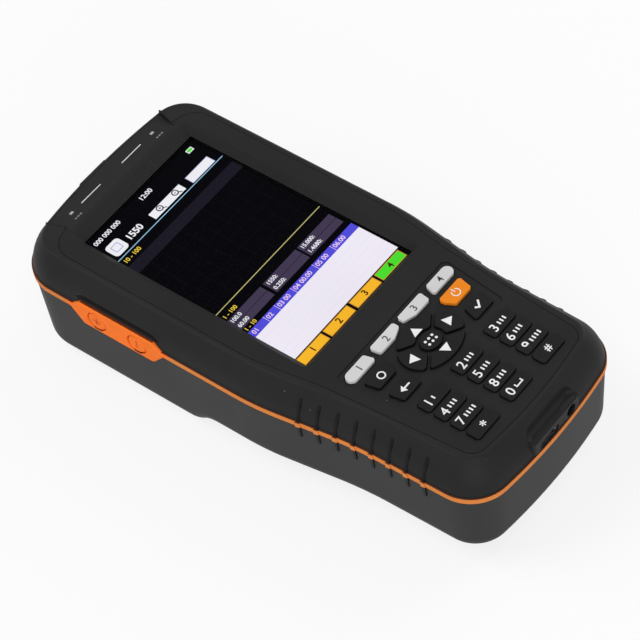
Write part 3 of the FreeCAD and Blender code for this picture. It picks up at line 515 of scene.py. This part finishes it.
def arrow_legends():
    """An arrowhead over each stem of the ring, six dots on the middle key."""
    away = {"key_up": (0, 1), "key_down": (0, -1), "key_left": (-1, 0), "key_right": (1, 0)}
    ring = centre_of("key_centre")
    for key, (dx, dy) in away.items():
        low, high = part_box(key)
        reach = max(abs(v) for v in ((high.y - ring.y) * dy, (low.y - ring.y) * dy,
                                     (high.x - ring.x) * dx, (low.x - ring.x) * dx)) / MM
        middle = centre_of(key)
        along = reach - arrow_back
        x0 = ring.x / MM + dx * along - middle.x / MM
        y0 = ring.y / MM + dy * along - middle.y / MM
        tip, foot, half = 1.75, -1.35, 1.9
        legend(key, [[(x0 + dx * tip, y0 + dy * tip),
                      (x0 + dx * foot - dy * half, y0 + dy * foot + dx * half),
                      (x0 + dx * foot + dy * half, y0 + dy * foot - dx * half)]])
    dot_radius, dot_xs, dot_ys = 0.46, (-1.65, 0, 1.65), (-0.8, 0.8)
    legend("key_centre", [disc(x, y, dot_radius, 16) for x in dot_xs for y in dot_ys])


def function_legends():
    """Plain numbers on the four soft keys, the same as on the buttons of the picture."""
    for count in range(1, 5):
        key = "key_f%d" % count
        middle = centre_of(key)
        text_piece("soft_%d" % count, str(count), middle.x, middle.y, key_top, 2.6 * MM,
                   legend_black, key, bold=0.01)


def ring_sector(radius, width, start, end, steps=24):
    outer, inner = [], []
    for step in range(steps + 1):
        angle = math.radians(start + (end - start) * step / steps)
        outer.append(((radius + width) * math.cos(angle), (radius + width) * math.sin(angle)))
        inner.append((radius * math.cos(angle), radius * math.sin(angle)))
    return outer + inner[::-1]


def symbol_legends():
    """Ring and bar for power, ring for off, arrow for back, tick for accept."""
    legend("key_power", [ring_sector(1.2, 0.34, 125, 415), bar(-0.17, 0.17, 0.3, 2.0)])
    legend("key_off", [ring_sector(1.0, 0.45, 0, 180), ring_sector(1.0, 0.45, 180, 360)])
    legend("key_esc", [[(-2.1, 0), (-0.4, 1.35), (-0.4, -1.35)], bar(-0.4, 2.0, -0.28, 0.28)])
    legend("key_ok", [[(-1.6, 0.1), (-1.1, 0.6), (-0.35, -0.25), (1.3, 1.6), (1.8, 1.15),
                       (-0.35, -1.15)]])


# ---------------------------------------------------------------- prints on the brow, signs at the side
def on_top(node, x, y, lift=0.01):
    """The point of a node's upper surface at x, y, in millimetres."""
    hit, place, normal, index = nodes[node].ray_cast(Vector((x, y, 100)) * MM, Vector((0, 0, -1)))
    return place + Vector((0, 0, lift * MM))


def brow_prints():
    """Two thin silver rules on the brow, and short dashes on and below each status light."""
    lamp_low, lamp_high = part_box("status_lights")
    lamp_y = (lamp_low.y + lamp_high.y) / 2 / MM
    lamp_inset = 0.5           # from the outer edge of a lamp to its middle
    rule_half = 0.19
    dash_pitch, dash_half, dash_half_length = 0.42, 0.13, 0.6
    word_pitch, word_half_length, word_low, word_high = 1.15, 0.38, 3.5, 2.9
    bm = bmesh.new()

    def strip(x0, x1, y0, y1):
        corners = [on_top("faceplate", x, y) for x, y in bar(x0, x1, y0, y1)]
        bm.faces.new([bm.verts.new(corner) for corner in corners])

    for x0, x1 in ((-15.0, -5.7), (4.8, 14.1)):
        strip(x0, x1, lamp_y - rule_half, lamp_y + rule_half)
    piece("brow_rules", bm, legend_silver, "housing")
    bm = bmesh.new()
    for side in (lamp_low.x / MM + lamp_inset, lamp_high.x / MM - lamp_inset):
        for dash in (-1, 0, 1):
            y = lamp_y + dash_pitch * dash
            strip(side - dash_half_length, side + dash_half_length, y - dash_half, y + dash_half)
        for dash in (-1, 0, 1):
            x = side + word_pitch * dash
            strip(x - word_half_length, x + word_half_length, lamp_y - word_low,
                  lamp_y - word_high)
    piece("brow_marks", bm, legend_faint, "housing")


def pad_hood():
    """Moulded brow on the shoulder above the side keys: a lip that overhangs a band with painted shade.
    """
    low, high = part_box("side_key_minus")[0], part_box("side_key_plus")[1]
    past_keys = 5.5            # how far the hood reaches past the keys at each end
    y0, y1 = low.y / MM - past_keys, high.y / MM + past_keys
    foot_z, lip_z, top_z = high.z / MM + 1.3, high.z / MM + 3.0, high.z / MM + 5.2
    steps, end_steepness, end_drop, end_sink = 40, 9, 2.2, 0.05
    far_left = -80             # a start for the rays, well outside the housing
    rows = []
    bm = bmesh.new()
    for level, proud in ((foot_z, 0.05), (lip_z - 0.1, 0.15), (lip_z + 0.1, 0.6), (lip_z + 0.6, 0.55),
                         (top_z, -0.1)):
        row = []
        for step in range(steps + 1):
            share = step / steps
            y = y0 + (y1 - y0) * share
            fade = min(1.0, min(share, 1 - share) * end_steepness)
            z = level - (1 - fade) * end_drop
            hit, place, normal, index = nodes["front_housing"].ray_cast(
                Vector((far_left, y, z)) * MM, Vector((1, 0, 0)))
            if not hit:
                place, normal = Vector((cad_low.x, y * MM, z * MM)), Vector((-1, 0, 0))
            row.append(bm.verts.new(place + normal * (proud * fade - end_sink * (1 - fade)) * MM))
        rows.append(row)
    for band, (lower, upper) in enumerate(zip(rows, rows[1:])):
        for i in range(steps):
            face = bm.faces.new((lower[i], upper[i], upper[i + 1], lower[i + 1]))
            face.smooth = True
            # the lowest band takes the painted shade
            face.material_index = 1 if band == 0 else 0
    bmesh.ops.recalc_face_normals(bm, faces=bm.faces)
    piece("pad_hood", bm, [paint["charcoal_shell"], shell_shade], "housing")


def side_signs():
    """Raised plus and minus on the two side keys, as bars by their half sizes in y and z."""
    raised, sunk = 0.16 * MM, 0.1 * MM
    signs = {"side_key_plus": ((1.5, 0.24), (0.24, 1.5)), "side_key_minus": ((0.24, 1.5),)}
    for key, bars in signs.items():
        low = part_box(key)[0]
        middle = centre_of(key)
        bm = bmesh.new()
        for half_y, half_z in bars:
            ring = bar(-half_y, half_y, -half_z, half_z)
            outer = [bm.verts.new((low.x - raised, middle.y + y * MM, middle.z + z * MM))
                     for y, z in ring]
            inner = [bm.verts.new((low.x + sunk, middle.y + y * MM, middle.z + z * MM))
                     for y, z in ring]
            bm.faces.new(outer[::-1])
            for i in range(4):
                j = (i + 1) % 4
                bm.faces.new((outer[i], outer[j], inner[j], inner[i]))
        bmesh.ops.recalc_face_normals(bm, faces=bm.faces)
        piece("sign_" + key, bm, sign_orange, key)


# ---------------------------------------------------------------- the lit picture
picture_z = window_bottom / MM + 0.02     # millimetres, as the whole picture
sheet_zero = 43.1          # the picture's own y at the middle of the housing
layer_step = 0.012         # rise of each layer over the one below
print_lift = 0.06          # rise of the printed characters
screen_paint = {
    "ink": glowing("screen_ink", (0.0006, 0.0006, 0.0018)),
    "navy": glowing("screen_navy", (0.0105, 0.009, 0.018)),
    "table": glowing("screen_table", (0.89, 0.85, 0.95)),
    "ruling": glowing("screen_ruling", (0.80, 0.76, 0.87)),
    "header": glowing("screen_header", (0.085, 0.075, 0.72)),
    "caption": glowing("screen_caption", (0.85, 0.62, 0.06)),
    "field": glowing("screen_field", (0.056, 0.042, 0.085)),
    "amber": glowing("screen_amber", (0.98, 0.50, 0.025)),
    "green": glowing("screen_green", (0.07, 0.75, 0.03)),
    "white": glowing("screen_white", (0.88, 0.88, 0.92)),
    "sky": glowing("screen_sky", (0.30, 0.58, 0.80)),
    "trace": glowing("screen_trace", (0.55, 0.52, 0.20)),
    "grid": glowing("screen_grid", (0.004, 0.006, 0.006)),
    "dark": glowing("screen_dark", (0.02, 0.02, 0.02)),
    "rim": glowing("screen_rim", (0.55, 0.25, 0.03)),
    "umber": glowing("screen_umber", (0.05, 0.015, 0.002)),
    "blush": glowing("screen_blush", (0.90, 0.66, 0.86)),
    "lilac": glowing("screen_lilac", (0.50, 0.52, 0.80)),
}


def lettering(name, entries, colour):
    """Plain numbers of the picture as one piece: (words, x, y, height, weight, from the left)."""
    bm = bmesh.new()
    for words, x, y, height, weight, from_left in entries:
        mesh = letters(words, height * MM, weight, "LEFT" if from_left else "CENTER")
        mesh.transform(Matrix.Translation((x * MM, (y - sheet_zero) * MM,
                                           (picture_z + print_lift) * MM)))
        bm.from_mesh(mesh)
    piece(name, bm, screen_paint[colour], "housing")


def picture():
    """The display's picture, laid out in millimetres: x across, y up the sheet."""
    names = list(screen_paint)
    bm = bmesh.new()

    def lay(colour, outline, level):
        z = (picture_z + layer_step * level) * MM
        verts = [bm.verts.new((x * MM, (y - sheet_zero) * MM, z)) for x, y in outline]
        bm.faces.new(verts).material_index = names.index(colour)

    def block(colour, x0, x1, y0, y1, level=1):
        lay(colour, bar(x0, x1, y0, y1), level)

    def lens(x, y, signs):
        lay("dark", disc(x, y, 1.25), 2)
        lay("white", disc(x, y, 0.85), 3)
        lay("dark", [(x + 0.7, y - 0.8), (x + 0.95, y - 0.55), (x + 1.9, y - 1.5),
                     (x + 1.65, y - 1.75)], 2)
        for half_x, half_y in signs:
            block("dark", x - half_x, x + half_x, y - half_y, y + half_y, 4)

    block("ink", -25.92, 25.92, 25.3, 111.7, 0)
    for x0, x1, colour in ((-25.9, -13.6, "amber"), (-12.8, -0.8, "amber"),
                           (0.2, 12.2, "amber"), (13.0, 25.0, "green")):
        block("rim", x0, x1, 25.8, 29.6)
        block(colour, x0 + 0.25, x1 - 0.25, 26.05, 29.35, 2)
    block("table", -25.9, 25.9, 30.0, 45.0)
    for row in range(1, 6):
        block("ruling", -25.9, 25.9, 30.0 + 2.5 * row, 30.1 + 2.5 * row, 2)
    block("header", -25.9, 25.9, 45.0, 48.0)
    for x in (-18.4, -13.0, -5.0, 6.0, 14.8):
        block("blush", x - 0.08, x + 0.08, 45.0, 48.0, 2)
    for x0, x1 in ((-25.9, -9.5), (-8.3, 8), (8.8, 25)):
        block("field", x0, x1, 50.3, 56.0)
        block("ink", x0, x1, 53.1, 53.25, 2)
    block("trace", -25.9, 25.9, 60.2, 60.5)
    for column in range(1, 10):
        x = -25.9 + 5.18 * column
        block("grid", x - 0.05, x + 0.05, 60.5, 90.5)
    for row in range(1, 6):
        block("grid", -25.9, 25.9, 60.5 + 5.0 * row, 60.6 + 5.0 * row)
    block("navy", -25.9, 25.9, 90.7, 95.0)
    block("sky", -25.9, 25.9, 98.9, 99.2)
    lay("white", round_bar(-24.5, -18.5, 100.2, 106.0, 1.3), 1)
    lay("lilac", round_bar(-23.2, -19.8, 101.5, 104.7, 0.5), 2)
    lay("white", round_bar(-22.8, -20.2, 101.9, 104.3, 0.4), 3)
    block("white", -6.0, 9.0, 100.1, 103.3)
    lens(-1.9, 102.0, ((0.5, 0.12), (0.12, 0.5)))
    lens(5.7, 102.0, ((0.5, 0.12),))
    block("lilac", 12.0, 23.0, 99.6, 103.2)
    block("white", 12.2, 22.8, 99.8, 103.0, 2)
    block("white", 20.8, 23.4, 108.5, 110.2)
    block("green", 21.1, 23.1, 108.8, 109.9, 2)
    piece("display_picture", bm, [screen_paint[name] for name in names], "housing")
    lettering("words_white", [
        ("000 000 000", -24.8, 109.3, 1.7, 0.03, True), ("12:00", 0, 109.3, 1.8, 0.03, False),
        ("1550", -17.2, 102.4, 2.5, 0.04, True),
        ("100.0", -25.3, 54.6, 1.5, 0.03, True), ("60.00", -25.3, 51.7, 1.5, 0.03, True),
        ("1550:", -7.7, 54.6, 1.5, 0.03, True), ("0.250:", -7.7, 51.7, 1.5, 0.03, True),
        ("15.000:", 9.4, 54.6, 1.5, 0.03, True), ("1.4680:", 9.4, 51.7, 1.5, 0.03, True)], "white")
    lettering("words_yellow", [
        ("10 - 100", -25.0, 97.0, 1.6, 0.03, True), ("1 - 100", -25.3, 57.5, 1.5, 0.03, True),
        ("1 - 10", -25.3, 49.1, 1.5, 0.03, True)], "caption")
    lettering("words_header", [(words, x, 46.5, 1.7, 0.02, True) for words, x in (
        ("01", -24.9), ("02", -17.9), ("03 00", -12.4), ("04 00.00", -4.5), ("05 00", 6.5),
        ("06.00", 15.3))], "blush")
    lettering("words_buttons", [(str(i + 1), -19.7 + 12.9 * i, 27.7, 2.4, 0.03, False)
                                for i in range(4)], "umber")


# ---------------------------------------------------------------- studio
def seen_rays(tree):
    """1 for rays from the camera and for those that glossy or clear surfaces pass on."""
    path = add(tree, "ShaderNodeLightPath")
    total = combine(tree, "MAXIMUM", path.outputs["Is Camera Ray"], path.outputs["Is Glossy Ray"])
    return combine(tree, "MAXIMUM", total, path.outputs["Is Transmission Ray"])


paper_white = 0.8          # how far the paper is lifted to white where it is seen
paper_gap = 0.2 * MM       # under the object's feet


def floor_paper():
    """White paper that keeps a soft shadow of the object."""
    material, tree, shader = new_material("floor_paper")
    fibre = grain(tree, 400.0, 3.0)
    colour_out = ramp(tree, fibre.outputs["Fac"], (0.86, 0.86, 0.86), (0.88, 0.88, 0.88))
    tree.links.new(colour_out, shader.inputs["Base Color"])
    shader.inputs["Roughness"].default_value = 0.9
    white = add(tree, "ShaderNodeEmission", Color=(1, 1, 1, 1), Strength=1.0)
    mix = add(tree, "ShaderNodeMixShader")
    tree.links.new(combine(tree, "MULTIPLY", seen_rays(tree), paper_white), mix.inputs["Fac"])
    tree.links.new(shader.outputs[0], mix.inputs[1])
    tree.links.new(white.outputs[0], mix.inputs[2])
    tree.links.new(mix.outputs[0], tree.nodes["Material Output"].inputs["Surface"])
    return material


def studio():
    bpy.ops.mesh.primitive_plane_add(size=6)
    floor = bpy.context.object
    floor.name = "floor"
    floor.location.z = -paper_gap
    floor.data.materials.append(floor_paper())

    world = bpy.data.worlds.new("studio")
    scene.world = world
    world.use_nodes = True
    tree = world.node_tree
    tree.nodes.clear()
    ambient = add(tree, "ShaderNodeBackground", Color=(1, 1, 1, 1), Strength=0.34)
    white = add(tree, "ShaderNodeBackground", Color=(1, 1, 1, 1), Strength=1.0)
    mix = add(tree, "ShaderNodeMixShader")
    out = add(tree, "ShaderNodeOutputWorld")
    tree.links.new(seen_rays(tree), mix.inputs["Fac"])
    tree.links.new(ambient.outputs[0], mix.inputs[1])
    tree.links.new(white.outputs[0], mix.inputs[2])
    tree.links.new(mix.outputs[0], out.inputs["Surface"])

    def softbox(name, place, size, power):
        light = bpy.data.lights.new(name, "AREA")
        light.shape = "RECTANGLE"
        light.size, light.size_y = size
        light.energy = power
        lamp = bpy.data.objects.new(name, light)
        lamp.location = place
        lamp.rotation_mode = "QUATERNION"
        lamp.rotation_quaternion = (Vector((0, 0, 0.02)) - lamp.location).to_track_quat("-Z", "Y")
        scene.collection.objects.link(lamp)

    softbox("key_light", (-0.5, 0.7, 1.1), (0.9, 0.9), 9.6)
    softbox("front_light", (-0.7, -0.8, 0.45), (0.9, 0.6), 6.4)
    softbox("side_light", (0.9, -0.2, 0.6), (0.7, 0.7), 4.6)


def camera():
    """Long lens, from the front left and above, a little tilted."""
    azimuth, elevation, roll = (math.radians(a) for a in (-45.774, 51.031, -8.64))
    back = Vector((math.sin(azimuth) * math.cos(elevation),
                   -math.cos(azimuth) * math.cos(elevation), math.sin(elevation)))
    right = Vector((math.cos(azimuth), math.sin(azimuth), 0))
    up = back.cross(right)
    right, up = (right * math.cos(roll) + up * math.sin(roll),
                 up * math.cos(roll) - right * math.sin(roll))
    data = bpy.data.cameras.new("camera")
    data.sensor_width = 36.0
    data.lens = 168.75
    data.clip_start, data.clip_end = 0.05, 20
    obj = bpy.data.objects.new("camera", data)
    turn = Matrix((right, up, back)).transposed().to_4x4()
    aside, above, away = -1.63, 14.70, 941.3
    spot = right * aside + up * above + back * away
    obj.matrix_world = Matrix.Translation(spot * MM) @ turn
    scene.collection.objects.link(obj)
    scene.camera = obj


dress_frame()
for key_name in all_keys:
    soften(key_name, key_rounding)
number_legends()
arrow_legends()
function_legends()
symbol_legends()
brow_prints()
side_signs()
pad_hood()
picture()
studio()
camera()
scene.view_settings.view_transform = "Standard"
